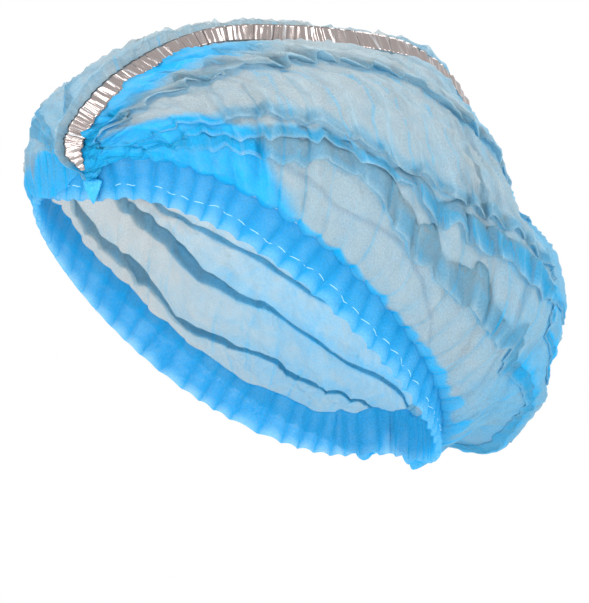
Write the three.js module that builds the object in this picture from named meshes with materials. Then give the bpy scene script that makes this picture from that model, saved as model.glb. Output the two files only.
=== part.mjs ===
// A disposable pleated hair cap of thin nonwoven cloth, in the shape that it has on a head.
// Two gathered hems run round the head opening. Between them one sheet of cloth makes the crown,
// with folds that run from the front weld over the head to the back weld. A foil strip stands on
// the middle fold. Lengths are millimetres, +Z is up, the wearer faces -Y with the left side at +X,
// and the origin is the middle of the head opening.
import * as THREE from "three";

// Head opening, as the hem's lower edge runs on the head
const headLength = 196;
const headBreadth = 156;
const openingDrop = 122; // from the forehead down to the nape
const templeDip = 8; // how far the opening leaves a plain slant at the temples
const dipSpan = 0.4; // the angle over which that begins at forehead and nape
const earDip = 3;

// Hem
const hemWidth = 21;
const hemThickness = 3;
const elasticPinch = 0.7; // how far the elastic draws each face of the hem in
const hemGathers = 22; // on each side
const hemGatherDepth = 0.8;
const hemMeetingShift = 12.5; // how far left of the middle the hems meet in front

// Crown
const cloth = 1.2;
const crownRise = 130; // middle fold's foot above the origin
const crownFlare = 30;
const foldHeight = 6.5;
const middleFoldHeight = 10;
const crownGathers = 11; // along each fold
const crownGatherDepth = 1.6;
const panelGather = 0.35; // the gathers' depth between the folds, as a share of theirs on a crest
const gatherLean = 3; // how far each gather runs askew, as an angle of its wave
const fadeFront = 0.16; // share of the folds' length over which they rise from the front weld
const fadeBack = 0.3; // and from the back weld
const hangShare = 0.11; // share of a side's cloth that may hang over the hem
const bellyShare = 0.24; // share of a side's cloth that lies below its widest place
const hemLap = 2; // how far the crown's edge laps the hem's outer face

// Foil strip
const stripWidth = 7.6;
const stripThickness = 0.8;
const stripFoot = 1.4; // above the foot of the middle fold

// Welds
const weldWidth = 9;
const weldHeight = 7;
const weldThickness = 2.6;
const weldTeeth = 4;
const weldTaper = 0.8; // its lower edge, as a share of weldWidth

// Gap between pieces that touch
const gap = 0.3;
const hemGap = 0.9; // between the crests of the hem's gathers and the crown

// Steps in the meshes
const alongSteps = 44;
const hemSteps = 4 * hemGathers;

// Sections of the crown from the front weld to the back weld, evenly spaced along the folds.
// turn: share of a hem's length. ridgeX: share of half headBreadth. ridgeY: share of half
// headLength. ridgeZ: share of crownRise. flareLeft, flareRight: how far the cloth stands off the
// head, as shares of crownFlare. belly: share of the section's height at its widest. power: 2 is
// an ellipse, more is squarer. hangLeft, hangRight: how far down the hem the cloth hangs over it.
// sag: how far the widest place sinks, as a share of hemWidth.
// ripple: how deep the gathers are there, as a share of crownGatherDepth.
const sections = [
  { turn: 0.02, ridgeX: 0.16, ridgeY: -1.065, ridgeZ: 0.535, flareLeft: 0, flareRight: 0, belly: 0.4, power: 2, hangLeft: 0, hangRight: 0, sag: 0, ripple: 1 },
  { turn: 0.085, ridgeX: 0.06, ridgeY: -1.07, ridgeZ: 0.655, flareLeft: 0.03, flareRight: 0, belly: 0.42, power: 2.3, hangLeft: 0, hangRight: 0.6, sag: 0, ripple: 1 },
  { turn: 0.155, ridgeX: 0.11, ridgeY: -0.94, ridgeZ: 0.8, flareLeft: 0.1, flareRight: 0, belly: 0.42, power: 2.4, hangLeft: 0, hangRight: 0.9, sag: 0, ripple: 1 },
  { turn: 0.23, ridgeX: 0.12, ridgeY: -0.66, ridgeZ: 0.91, flareLeft: 0.15, flareRight: 0.03, belly: 0.4, power: 2.4, hangLeft: 0, hangRight: 0.7, sag: 0, ripple: 1 },
  { turn: 0.32, ridgeX: 0.12, ridgeY: -0.3, ridgeZ: 0.975, flareLeft: 0.33, flareRight: 0.2, belly: 0.4, power: 2.3, hangLeft: 0, hangRight: 0.4, sag: 0, ripple: 1 },
  { turn: 0.42, ridgeX: 0.12, ridgeY: 0.12, ridgeZ: 0.985, flareLeft: 0.5, flareRight: 0.4, belly: 0.42, power: 2.1, hangLeft: 0, hangRight: 0.2, sag: 0, ripple: 1 },
  { turn: 0.53, ridgeX: 0.12, ridgeY: 0.54, ridgeZ: 0.975, flareLeft: 0.6, flareRight: 0.6, belly: 0.42, power: 1.8, hangLeft: 0, hangRight: 0.1, sag: 0, ripple: 1 },
  { turn: 0.64, ridgeX: 0.14, ridgeY: 0.94, ridgeZ: 0.93, flareLeft: 0.82, flareRight: 0.87, belly: 0.38, power: 1.55, hangLeft: 0.1, hangRight: 0.15, sag: 0, ripple: 1 },
  { turn: 0.74, ridgeX: 0.16, ridgeY: 1.22, ridgeZ: 0.79, flareLeft: 0.9, flareRight: 0.95, belly: 0.32, power: 1.5, hangLeft: 0.3, hangRight: 0.3, sag: 0.2, ripple: 1 },
  { turn: 0.825, ridgeX: 0.14, ridgeY: 1.42, ridgeZ: 0.54, flareLeft: 1.35, flareRight: 1.3, belly: 0.26, power: 1.75, hangLeft: 0.5, hangRight: 0.5, sag: 0.5, ripple: 1.4 },
  { turn: 0.89, ridgeX: 0.1, ridgeY: 1.54, ridgeZ: 0.21, flareLeft: 1.4, flareRight: 1.35, belly: 0.3, power: 2.1, hangLeft: 0.7, hangRight: 0.7, sag: 0.85, ripple: 1.4 },
  { turn: 0.94, ridgeX: 0.05, ridgeY: 1.46, ridgeZ: -0.13, flareLeft: 1, flareRight: 1, belly: 0.3, power: 2.1, hangLeft: 0.9, hangRight: 0.9, sag: 0.9, ripple: 1 },
  { turn: 0.98, ridgeX: 0, ridgeY: 1.07, ridgeZ: -0.36, flareLeft: 0, flareRight: 0, belly: 0.4, power: 2, hangLeft: 0.3, hangRight: 0.3, sag: 0, ripple: 1 },
];

// Folds on each side. at: share of the way from the hem to the middle. height: share of foldHeight.
const folds = [
  { at: 0.16, height: 0.8 },
  { at: 0.31, height: 1 },
  { at: 0.5, height: 0.8 },
  { at: 0.7, height: 1 },
];

// A column of the sections table, smooth between its rows. along is 0 at the front and 1 at the back.
function blend(column, along) {
  const last = sections.length - 1;
  const place = THREE.MathUtils.clamp(along, 0, 1) * last;
  const row = Math.min(Math.floor(place), last - 1);
  const value = (k) => {
    if (k < 0) return 2 * sections[0][column] - sections[1][column];
    if (k > last) return 2 * sections[last][column] - sections[last - 1][column];
    return sections[k][column];
  };
  const [a, b, c, d] = [value(row - 1), value(row), value(row + 1), value(row + 2)];
  const f = place - row;
  const cubic = 3 * b - a - 3 * c + d;
  return 0.5 * (2 * b + (c - a) * f + (2 * a - 5 * b + 4 * c - d) * f * f + cubic * f * f * f);
}

// A side's angle round the head. The hems meet a little left of the middle in front, and at the nape.
function openingAngle(turn, side) {
  const meeting = Math.asin(hemMeetingShift / (headBreadth / 2));
  return Math.PI * turn + side * meeting * (1 - turn);
}

// The hem's lower edge on the head: an ellipse from above that falls from forehead to nape.
function openingPoint(turn, side) {
  const angle = openingAngle(turn, side);
  const { smoothstep } = THREE.MathUtils;
  const begin = smoothstep(Math.abs(angle), 0, dipSpan) * smoothstep(Math.PI - angle, 0, dipSpan);
  const dip = templeDip * Math.sin(2 * Math.abs(angle)) * begin - earDip * Math.sin(angle) ** 2;
  return new THREE.Vector3(
    ((side * headBreadth) / 2) * Math.sin(angle),
    (-headLength / 2) * Math.cos(angle),
    (openingDrop / 2) * Math.cos(angle) + dip,
  );
}

// At a place on the opening: the way off the head, and the way up the hem's width.
function openingFrame(turn, side) {
  const step = 1e-4;
  const angle = openingAngle(turn, side);
  const tangent = openingPoint(turn + step, side).sub(openingPoint(turn - step, side)).normalize();
  const off = new THREE.Vector3(
    (side * Math.sin(angle)) / headBreadth,
    -Math.cos(angle) / headLength,
    0,
  ).normalize();
  const up = new THREE.Vector3().crossVectors(off, tangent).normalize();
  return { off, up: up.z < 0 ? up.negate() : up };
}

// The share of a hem's length that is this long at its ends.
function turnAt(distance) {
  return distance / (headBreadth / 2) / Math.PI;
}

const hemTurn = turnAt(gap / 2); // where each hem ends
const hemTurnSpan = 1 - 2 * hemTurn;

// The hem's gathers, with a crest at each end.
function hemWave(turn) {
  const share = (turn - hemTurn) / hemTurnSpan;
  return hemGatherDepth * Math.cos(2 * Math.PI * hemGathers * share);
}

// The crown without its folds. across is 0 at the hem and 1 at the middle. The cloth goes off the
// head and up to its widest place, and from there over to the middle as part of an ellipse.
function domePoint(along, across, side) {
  const turn = blend("turn", along);
  const hang = blend(side > 0 ? "hangLeft" : "hangRight", along);
  const { off, up } = openingFrame(turn, side);
  const foot = openingPoint(turn, side)
    .addScaledVector(up, hemWidth - hemLap)
    .addScaledVector(off, hemThickness + hemGatherDepth + hemGap + cloth);
  const ridge = new THREE.Vector3(
    (blend("ridgeX", along) * headBreadth) / 2,
    (blend("ridgeY", along) * headLength) / 2,
    blend("ridgeZ", along) * crownRise,
  );
  const rise = new THREE.Vector3(0, ridge.y - foot.y, ridge.z - foot.z);
  const belly = blend("belly", along);
  const flare = blend(side > 0 ? "flareLeft" : "flareRight", along) * crownFlare;
  const low = Math.min(across / bellyShare, 1) * (Math.PI / 2);
  const point = foot.clone().addScaledVector(off, flare * Math.sin(low));
  point.addScaledVector(rise, belly * (1 - Math.cos(low)));
  point.z -= blend("sag", along) * hemWidth * (1 - Math.cos(low));
  if (across > bellyShare) {
    const high = ((across - bellyShare) / (1 - bellyShare)) * (Math.PI / 2);
    const power = 2 / blend("power", along);
    const middle = new THREE.Vector3(ridge.x, point.y, point.z);
    const wide = point.x - ridge.x;
    const tall = ridge.clone().sub(middle);
    point.copy(middle).addScaledVector(tall, Math.sin(high) ** power);
    point.x += wide * Math.max(Math.cos(high), 0) ** power;
  }
  const below = hang * (hemWidth - hemLap) * (1 - THREE.MathUtils.smoothstep(across, 0, hangShare));
  return point.addScaledVector(up, -below);
}

// The way off the crown at a place on it.
function domeNormal(along, across, side) {
  const step = 2e-3;
  const high = Math.min(across, 1 - step);
  const a0 = Math.max(along - step, 0);
  const a1 = Math.min(along + step, 1);
  const lengthwise = domePoint(a1, high, side).sub(domePoint(a0, high, side));
  const crosswise = domePoint(along, high + step, side).sub(domePoint(along, Math.max(high - step, 0), side));
  return new THREE.Vector3().crossVectors(lengthwise, crosswise).multiplyScalar(side).normalize();
}

// The folds are low at both welds.
function foldFade(along) {
  const { smoothstep } = THREE.MathUtils;
  return smoothstep(along, 0, fadeFront) * smoothstep(1 - along, 0, fadeBack);
}

// Gathers: ripples along the folds, strongest on their crests, and none where the cloth leaves the hem.
function gather(along, across, lift) {
  const ripple = Math.sin(2 * Math.PI * crownGathers * along + gatherLean * across);
  const share = panelGather + ((1 - panelGather) * lift) / foldHeight;
  const fade = foldFade(along) * THREE.MathUtils.smoothstep(across, 0, bellyShare);
  return crownGatherDepth * blend("ripple", along) * share * ripple * fade;
}

// The columns of the crown's mesh on one side, from the hem to the middle: the place across,
// how high the cloth stands there, and how far the crest leans back over the panel below.
function sideColumns(side) {
  const edges = [{ at: 0, height: 0 }, ...folds, { at: 1, height: 0 }];
  const panelSteps = [4, 2, 2, 2, 3];
  const columns = [];
  edges.slice(0, -1).forEach((edge, k) => {
    const next = edges[k + 1];
    const low = edge.height * foldHeight;
    const high = side < 0 && k === folds.length ? middleFoldHeight : 0;
    for (let i = 0; i < panelSteps[k]; i++) {
      const share = i / panelSteps[k];
      columns.push({ across: edge.at + (next.at - edge.at) * share, lift: low + (high - low) * share });
    }
    const foot = k === folds.length ? null : { across: next.at - 0.004, lift: 0 };
    if (foot) columns.push(foot);
  });
  return columns;
}

function crownPoint(along, column, side) {
  const base = domePoint(along, column.across, side);
  const off = domeNormal(along, column.across, side);
  const lift = column.lift * foldFade(along);
  return base.addScaledVector(off, lift + gather(along, column.across, column.lift));
}

// How far and which way a wall's inner face lies from each point of its outer face. Where the wall
// bends, the offset is longer, so that it stays as thick.
function inwardOffset(grid, i, j, thickness) {
  const row = grid[i];
  const point = row[j];
  const lengthwise = grid[Math.min(i + 1, grid.length - 1)][j].clone().sub(grid[Math.max(i - 1, 0)][j]);
  const before = j > 0 ? point.clone().sub(row[j - 1]) : row[j + 1].clone().sub(point);
  const after = j < row.length - 1 ? row[j + 1].clone().sub(point) : before.clone();
  const first = new THREE.Vector3().crossVectors(before, lengthwise).normalize();
  const second = new THREE.Vector3().crossVectors(after, lengthwise).normalize();
  const middle = first.clone().add(second).normalize();
  return middle.multiplyScalar(thickness / Math.max(middle.dot(first), 0.6));
}

// A closed wall from a grid of points on its outer face, given as rows, with its thickness inwards.
// Rows follow each other to the back, and the points of a row run from left to right.
function wallGeometry(grid, thickness) {
  const rows = grid.length;
  const width = grid[0].length;
  const inner = grid.map((row, i) =>
    row.map((point, j) => point.clone().add(inwardOffset(grid, i, j, thickness))),
  );
  const corners = [...grid.flat(), ...inner.flat()].flatMap((p) => [p.x, p.y, p.z]);
  const at = (i, j, layer) => layer * rows * width + i * width + j;
  const faces = [];
  const quad = (a, b, c, d) => faces.push(a, b, c, a, c, d);
  for (let i = 0; i < rows - 1; i++)
    for (let j = 0; j < width - 1; j++) {
      quad(at(i, j, 0), at(i + 1, j, 0), at(i + 1, j + 1, 0), at(i, j + 1, 0));
      quad(at(i, j, 1), at(i, j + 1, 1), at(i + 1, j + 1, 1), at(i + 1, j, 1));
    }
  for (let i = 0; i < rows - 1; i++) {
    quad(at(i, 0, 0), at(i, 0, 1), at(i + 1, 0, 1), at(i + 1, 0, 0));
    quad(at(i, width - 1, 0), at(i + 1, width - 1, 0), at(i + 1, width - 1, 1), at(i, width - 1, 1));
  }
  for (let j = 0; j < width - 1; j++) {
    quad(at(0, j, 0), at(0, j + 1, 0), at(0, j + 1, 1), at(0, j, 1));
    quad(at(rows - 1, j, 0), at(rows - 1, j, 1), at(rows - 1, j + 1, 1), at(rows - 1, j + 1, 0));
  }
  return new THREE.BufferGeometry()
    .setAttribute("position", new THREE.Float32BufferAttribute(corners, 3))
    .setIndex(faces);
}

// A closed bar from rings of points, one ring a step along it.
function barGeometry(rings) {
  const count = rings[0].length;
  const corners = rings.flat().flatMap((p) => [p.x, p.y, p.z]);
  const faces = [];
  rings.slice(0, -1).forEach((_, i) => {
    for (let j = 0; j < count; j++) {
      const a = i * count + j;
      const b = i * count + ((j + 1) % count);
      faces.push(a, b, b + count, a, b + count, a + count);
    }
  });
  for (let j = 1; j < count - 1; j++) {
    faces.push(0, j + 1, j);
    const end = (rings.length - 1) * count;
    faces.push(end, end + j, end + j + 1);
  }
  return new THREE.BufferGeometry()
    .setAttribute("position", new THREE.Float32BufferAttribute(corners, 3))
    .setIndex(faces);
}

function crown() {
  const left = [...sideColumns(1), { across: 1, lift: 0 }, { across: 1, lift: middleFoldHeight }];
  const right = sideColumns(-1).reverse();
  const rows = [];
  for (let i = 0; i <= alongSteps; i++) {
    const along = i / alongSteps;
    rows.push([
      ...left.map((column) => crownPoint(along, column, 1)),
      ...right.map((column) => crownPoint(along, column, -1)),
    ]);
  }
  return wallGeometry(rows, cloth);
}

// One side's hem: a flat tube round the elastic, pinched along its middle and rippled all along.
function hem(side) {
  const outline = [
    { off: 0, up: 0 },
    { off: hemThickness, up: 0 },
    { off: hemThickness - elasticPinch, up: hemWidth / 2 },
    { off: hemThickness, up: hemWidth },
    { off: 0, up: hemWidth },
    { off: elasticPinch, up: hemWidth / 2 },
  ];
  const rings = [];
  for (let i = 0; i <= hemSteps; i++) {
    const turn = hemTurn + (hemTurnSpan * i) / hemSteps;
    const { off, up } = openingFrame(turn, side);
    const foot = openingPoint(turn, side).addScaledVector(off, hemWave(turn));
    rings.push(
      outline.map((corner) =>
        foot.clone().addScaledVector(off, corner.off).addScaledVector(up, corner.up),
      ),
    );
  }
  if (side > 0) rings.reverse();
  return barGeometry(rings);
}

// The foil strip stands against the left face of the middle fold and tapers into both welds.
function foilStrip() {
  const rings = [];
  for (let i = 1; i < alongSteps; i++) {
    const along = i / alongSteps;
    const off = domeNormal(along, 1, 1);
    const foot = crownPoint(along, { across: 1, lift: 0 }, 1).addScaledVector(off, stripFoot);
    const sideways = new THREE.Vector3(1, 0, 0).projectOnPlane(off).normalize();
    const high = stripWidth * foldFade(along);
    const corner = (out, over) => foot.clone().addScaledVector(off, out).addScaledVector(sideways, over);
    rings.push([
      corner(0, gap),
      corner(high, gap),
      corner(high, gap + stripThickness),
      corner(0, gap + stripThickness),
    ]);
  }
  return barGeometry(rings);
}

// A weld: a small tab with a toothed lower edge, pressed onto the hem just under the folds' end.
function weld(along) {
  const end = domePoint(along, 1, 1);
  const { off, up } = openingFrame(along, 1);
  const foot = openingPoint(along, 1);
  const top = end.clone().sub(foot).dot(up) - gap;
  const tooth = weldHeight / (2 * weldTeeth);
  const outline = new THREE.Shape();
  outline.moveTo(-weldWidth / 2, 0);
  for (let i = 0; i <= 2 * weldTeeth; i++) {
    const share = i / (2 * weldTeeth) - 0.5;
    outline.lineTo(weldWidth * share * weldTaper, (i % 2 ? tooth : 0) - weldHeight);
  }
  outline.lineTo(weldWidth / 2, 0);
  outline.closePath();
  const geometry = new THREE.ExtrudeGeometry(outline, { depth: weldThickness, bevelEnabled: false });
  const sideways = new THREE.Vector3().crossVectors(up, off);
  const place = foot.addScaledVector(up, top).addScaledVector(off, hemThickness + hemGatherDepth + gap);
  return geometry.applyMatrix4(new THREE.Matrix4().makeBasis(sideways, up, off).setPosition(place));
}

const clothBlue = new THREE.MeshStandardMaterial({ color: 0x8fc8ea, roughness: 0.85, metalness: 0 });
const hemBlue = new THREE.MeshStandardMaterial({ color: 0x3aa5e6, roughness: 0.85, metalness: 0 });
const foil = new THREE.MeshStandardMaterial({ color: 0xc4bab6, roughness: 0.25, metalness: 1 });
const weldBlue = new THREE.MeshStandardMaterial({ color: 0x1c7fbe, roughness: 0.6, metalness: 0 });

function piece(name, geometry, material) {
  const mesh = new THREE.Mesh(geometry, material);
  mesh.name = name;
  return mesh;
}

const cap = new THREE.Group();
cap.add(piece("crown", crown(), clothBlue));
cap.add(piece("hem_left", hem(1), hemBlue));
cap.add(piece("hem_right", hem(-1), hemBlue));
cap.add(piece("foil_strip", foilStrip(), foil));
cap.add(piece("front_weld", weld(0), weldBlue));
cap.add(piece("back_weld", weld(1), weldBlue));

export default cap;
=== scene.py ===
import math
import bpy
import numpy as np
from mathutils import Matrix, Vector


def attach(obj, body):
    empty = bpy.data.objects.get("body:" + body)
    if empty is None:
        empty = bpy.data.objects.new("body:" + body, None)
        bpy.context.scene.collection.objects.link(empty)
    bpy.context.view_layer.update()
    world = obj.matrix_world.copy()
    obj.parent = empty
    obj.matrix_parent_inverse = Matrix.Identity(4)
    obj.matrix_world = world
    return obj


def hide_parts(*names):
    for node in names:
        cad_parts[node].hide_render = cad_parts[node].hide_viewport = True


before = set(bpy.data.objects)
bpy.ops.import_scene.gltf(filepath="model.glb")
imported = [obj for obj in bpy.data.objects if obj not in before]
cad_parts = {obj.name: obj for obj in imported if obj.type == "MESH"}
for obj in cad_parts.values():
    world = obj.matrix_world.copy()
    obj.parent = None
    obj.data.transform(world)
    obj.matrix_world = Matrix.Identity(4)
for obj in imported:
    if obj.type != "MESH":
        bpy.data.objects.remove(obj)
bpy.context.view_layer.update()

print("frame loaded")

# Sizes of the cap, in metres, with its spans as shares along and across it
capSize = {
    "headLength": 0.196,
    "headBreadth": 0.156,
    "openingDrop": 0.122,
    "templeDip": 0.008,
    "dipSpan": 0.4,  # radians round the head
    "earDip": 0.003,
    "hemWidth": 0.021,
    "hemThickness": 0.003,
    "hemGatherDepth": 0.0008,
    "hemMeetingShift": 0.0125,
    "hemGap": 0.0009,
    "hemLap": 0.002,
    "cloth": 0.0012,
    "crownRise": 0.130,
    "crownFlare": 0.030,
    "foldHeight": 0.0065,
    "middleFoldHeight": 0.010,
    "fadeFront": 0.16,
    "fadeBack": 0.3,
    "hangShare": 0.11,
    "bellyShare": 0.24,
    "middleLength": 0.45,
    "hemLength": 0.28,
}

# Sections from the front weld to the back weld, as shares of the sizes above. The power is that of
# the section's superellipse
sectionColumns = ("turn", "ridgeX", "ridgeY", "ridgeZ", "flareLeft", "flareRight", "belly",
                  "power", "hangLeft", "hangRight", "sag")
sections = np.array([
    (0.02, 0.16, -1.065, 0.535, 0, 0, 0.4, 2.0, 0, 0.25, 0),
    (0.085, 0.06, -1.07, 0.655, 0.03, 0, 0.42, 2.3, 0, 0.85, 0),
    (0.155, 0.11, -0.94, 0.80, 0.1, 0, 0.42, 2.4, 0, 1.0, 0),
    (0.23, 0.12, -0.66, 0.91, 0.15, 0.03, 0.40, 2.4, 0, 0.7, 0),
    (0.32, 0.12, -0.3, 0.975, 0.33, 0.2, 0.4, 2.3, 0, 0.4, 0),
    (0.42, 0.12, 0.12, 0.985, 0.5, 0.4, 0.42, 2.1, 0, 0.2, 0),
    (0.53, 0.14, 0.54, 0.975, 0.6, 0.6, 0.42, 1.8, 0, 0.1, 0),
    (0.64, 0.2, 0.94, 0.93, 0.82, 0.87, 0.38, 1.55, 0.1, 0.15, 0),
    (0.74, 0.24, 1.22, 0.79, 0.9, 0.95, 0.32, 1.5, 0.3, 0.3, 0.2),
    (0.825, 0.18, 1.42, 0.54, 1.35, 1.3, 0.26, 1.75, 0.5, 0.5, 0.5),
    (0.89, 0.1, 1.54, 0.21, 1.4, 1.35, 0.3, 2.1, 0.7, 0.7, 0.85),
    (0.94, 0.05, 1.46, -0.13, 1.0, 1.0, 0.3, 2.1, 1.25, 1.1, 0.9),
    (0.98, 0, 1.07, -0.36, 0, 0, 0.4, 2.0, 0.9, 0.7, 0),
])


# Camera: at the photograph's angle, with the cap where the picture has it. Angles are in degrees,
# and the sensor is in millimetres
cameraLook = {
    "azimuth": 45,
    "elevation": 3,
    "distance": 1.7,
    "pictureHeight": 603,
    "metresPerPixel": 0.00045,
    "aimAcross": 0.0245,
    "aimUp": 0.0142,
    "sensor": 36,
}


def viewAxes(azimuth, elevation):
    a, e = math.radians(azimuth), math.radians(elevation)
    back = Vector((math.sin(a) * math.cos(e), -math.cos(a) * math.cos(e), math.sin(e)))
    across = Vector((math.cos(a), math.sin(a), 0))
    return back, across, back.cross(across)


def makeCamera(look):
    back, across, up = viewAxes(look["azimuth"], look["elevation"])
    place = back * look["distance"]
    aim = across * look["aimAcross"] + up * look["aimUp"]
    data = bpy.data.cameras.new("picture_camera")
    data.sensor_width = look["sensor"]
    seen = look["pictureHeight"] * look["metresPerPixel"]
    data.lens = look["sensor"] * look["distance"] / seen
    camera = bpy.data.objects.new("picture_camera", data)
    camera.location = place
    camera.rotation_euler = (place - aim).to_track_quat("Z", "Y").to_euler()
    bpy.context.collection.objects.link(camera)
    bpy.context.scene.camera = camera


makeCamera(cameraLook)
print("camera placed")


# Shape of the cap, worked out as whole arrays

# A smooth step: 0 below low, 1 above high
def smooth(value, low, high):
    share = np.clip((value - low) / (high - low), 0, 1)
    return share * share * (3 - 2 * share)


# A smooth window: it rises from 0 to 1 between a and b, and falls back between c and d
def window(value, a, b, c, d):
    return smooth(value, a, b) * (1 - smooth(value, c, d))


# A share from 0 to 1, squeezed in between a least value and 1
def atLeast(least, share):
    return least + (1 - least) * share


def unit(v):
    return v / np.linalg.norm(v, axis=-1, keepdims=True)


# A column of the sections: a Catmull-Rom curve, which is a cubic through its rows
def blend(column, along):
    values = sections[:, sectionColumns.index(column)]
    before = 2 * values[0] - values[1]
    after = 2 * values[-1] - values[-2]
    ends = np.concatenate(([before], values, [after]))
    last = len(values) - 1
    place = np.clip(along, 0, 1) * last
    row = np.minimum(place.astype(int), last - 1)
    f = place - row
    a, b, c, d = (ends[row + k] for k in range(4))
    square = 2 * a - 5 * b + 4 * c - d
    cubic = 3 * b - a - 3 * c + d
    return 0.5 * (2 * b + (c - a) * f + square * f**2 + cubic * f**3)


# Smooth noise from -1 to 1: random values on a grid of whole numbers, eased between its corners
def softNoise(x, y, seed):
    size = 97
    table = np.random.default_rng(seed).uniform(-1, 1, (size, size))
    i, j = np.floor(x).astype(int), np.floor(y).astype(int)
    f, g = x - i, y - j
    f, g = f * f * (3 - 2 * f), g * g * (3 - 2 * g)
    low = table[i % size, j % size] * (1 - f) + table[(i + 1) % size, j % size] * f
    high = table[i % size, (j + 1) % size] * (1 - f) + table[(i + 1) % size, (j + 1) % size] * f
    return low * (1 - g) + high * g


# A noise from its four values: a strength, a pitch along, a pitch across and a seed. With an
# endless pitch across it is the same all the way across
def noiseFrom(noise, x, y):
    strength, pitchX, pitchY, seed = noise
    return strength * softNoise(x / pitchX, y / pitchY, seed)


# Creased noise: sharp ridges where smooth noise passes through nothing
def creasedNoise(x, y, seed):
    return 1 - 2 * np.sqrt(np.abs(softNoise(x, y, seed)))


def openingAngle(turn, side):
    meeting = math.asin(capSize["hemMeetingShift"] / (capSize["headBreadth"] / 2))
    return np.pi * turn + side * meeting * (1 - turn)


# The hem's lower edge on the head: an ellipse from above that falls from forehead to nape
def openingPoint(turn, side):
    c = capSize
    angle = openingAngle(turn, side)
    begin = smooth(np.abs(angle), 0, c["dipSpan"]) * smooth(np.pi - angle, 0, c["dipSpan"])
    dip = c["templeDip"] * np.sin(2 * np.abs(angle)) * begin - c["earDip"] * np.sin(angle) ** 2
    return np.stack([
        side * c["headBreadth"] / 2 * np.sin(angle),
        -c["headLength"] / 2 * np.cos(angle),
        c["openingDrop"] / 2 * np.cos(angle) + dip,
    ], -1)


# The way off the head and the way up the hem's width, at a place on the opening
def openingFrame(turn, side):
    step = 1e-4
    angle = openingAngle(turn, side)
    tangent = unit(openingPoint(turn + step, side) - openingPoint(turn - step, side))
    off = unit(np.stack([
        side * np.sin(angle) / capSize["headBreadth"],
        -np.cos(angle) / capSize["headLength"],
        0 * angle,
    ], -1))
    up = unit(np.cross(off, tangent))
    return off, np.where(up[..., 2:] < 0, -up, up)


# The crown without its folds. The cloth goes off the head and up to its widest place by a quarter
# wave, and from there over to the middle as part of a superellipse
def domePoint(along, across, side):
    c = capSize
    along, across = np.broadcast_arrays(np.asarray(along, float), np.asarray(across, float))
    turn = blend("turn", along)
    hang = blend("hangLeft" if side > 0 else "hangRight", along)
    off, up = openingFrame(turn, side)
    out = c["hemThickness"] + c["hemGatherDepth"] + c["hemGap"] + c["cloth"]
    foot = openingPoint(turn, side) + up * (c["hemWidth"] - c["hemLap"]) + off * out
    ridge = np.stack([
        blend("ridgeX", along) * c["headBreadth"] / 2,
        blend("ridgeY", along) * c["headLength"] / 2,
        blend("ridgeZ", along) * c["crownRise"],
    ], -1)
    rise = (ridge - foot) * np.array([0, 1, 1])
    belly = blend("belly", along)[..., None]
    flare = (blend("flareLeft" if side > 0 else "flareRight", along) * c["crownFlare"])[..., None]
    low = (np.minimum(across / c["bellyShare"], 1) * np.pi / 2)[..., None]
    point = foot + off * flare * np.sin(low) + rise * belly * (1 - np.cos(low))
    sag = (blend("sag", along) * c["hemWidth"])[..., None] * (1 - np.cos(low))
    point = point - sag * np.array([0, 0, 1])
    high = np.clip((across - c["bellyShare"]) / (1 - c["bellyShare"]), 0, 1)[..., None] * np.pi / 2
    power = 2 / blend("power", along)[..., None]
    middle = np.stack([ridge[..., 0], point[..., 1], point[..., 2]], -1)
    wide = point[..., :1] - ridge[..., :1]
    over = middle + (ridge - middle) * np.sin(high) ** power
    over = over + wide * np.maximum(np.cos(high), 0) ** power * np.array([1, 0, 0])
    point = np.where((across > c["bellyShare"])[..., None], over, point)
    below = hang * (c["hemWidth"] - c["hemLap"]) * (1 - smooth(across, 0, c["hangShare"]))
    return point - up * below[..., None]


# The way off the crown and the way along its folds, at a place on it
def domeFrame(along, across, side):
    step = 2e-3
    high = np.minimum(across, 1 - step)
    back = domePoint(np.minimum(along + step, 1), high, side)
    front = domePoint(np.maximum(along - step, 0), high, side)
    above = domePoint(along, high + step, side)
    below = domePoint(along, np.maximum(high - step, 0), side)
    lengthwise = unit(back - front)
    return unit(np.cross(lengthwise, above - below) * side), lengthwise


# How far the folds have set in along the cap: not at all at the two welds
def foldFade(along, front):
    return smooth(along, 0, front) * smooth(1 - along, 0, capSize["fadeBack"])


# Meshes and their materials

# A mesh from a grid of points, with its UV map in metres and a value at each point. A ring's
# columns go on from the last to the first, and its two ends are closed
def gridMesh(name, points, uv, values, outward, ring=False):
    rows, columns = points.shape[:2]
    index = np.arange(rows * columns).reshape(rows, columns)
    quads = ringQuads(index) if ring else gridQuads(index)
    quads = quads if outward > 0 else quads[:, ::-1]
    return meshOf(name, points.reshape(-1, 3), quads, uv.reshape(-1, 2), values)


def gridQuads(index):
    a, b, c, d = index[:-1, :-1], index[1:, :-1], index[1:, 1:], index[:-1, 1:]
    return np.stack((a, b, c, d), -1).reshape(-1, 4)


# A tube's faces with a cap on each end: the cap's faces reach straight across the ring
def ringQuads(index):
    count = index.shape[1]
    first = np.arange(count // 2 - 1)
    across = np.stack((first, first + 1, count - 2 - first, count - 1 - first), -1)
    side = gridQuads(np.concatenate([index, index[:, :1]], 1))
    return np.concatenate([side, index[0][across], index[-1][across][:, ::-1]])


def meshOf(name, points, quads, uv, values):
    mesh = bpy.data.meshes.new(name)
    mesh.from_pydata(points.tolist(), [], quads.tolist())
    mesh.shade_smooth()
    layer = mesh.uv_layers.new(name="cloth")
    corner = np.empty(len(mesh.loops), int)
    mesh.loops.foreach_get("vertex_index", corner)
    layer.data.foreach_set("uv", uv[corner].ravel())
    for key, value in values.items():
        attribute = mesh.attributes.new(key, "FLOAT", "POINT")
        attribute.data.foreach_set("value", value.ravel().astype(np.float32))
    mesh.update()
    piece = bpy.data.objects.new(name, mesh)
    bpy.context.collection.objects.link(piece)
    return piece


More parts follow.
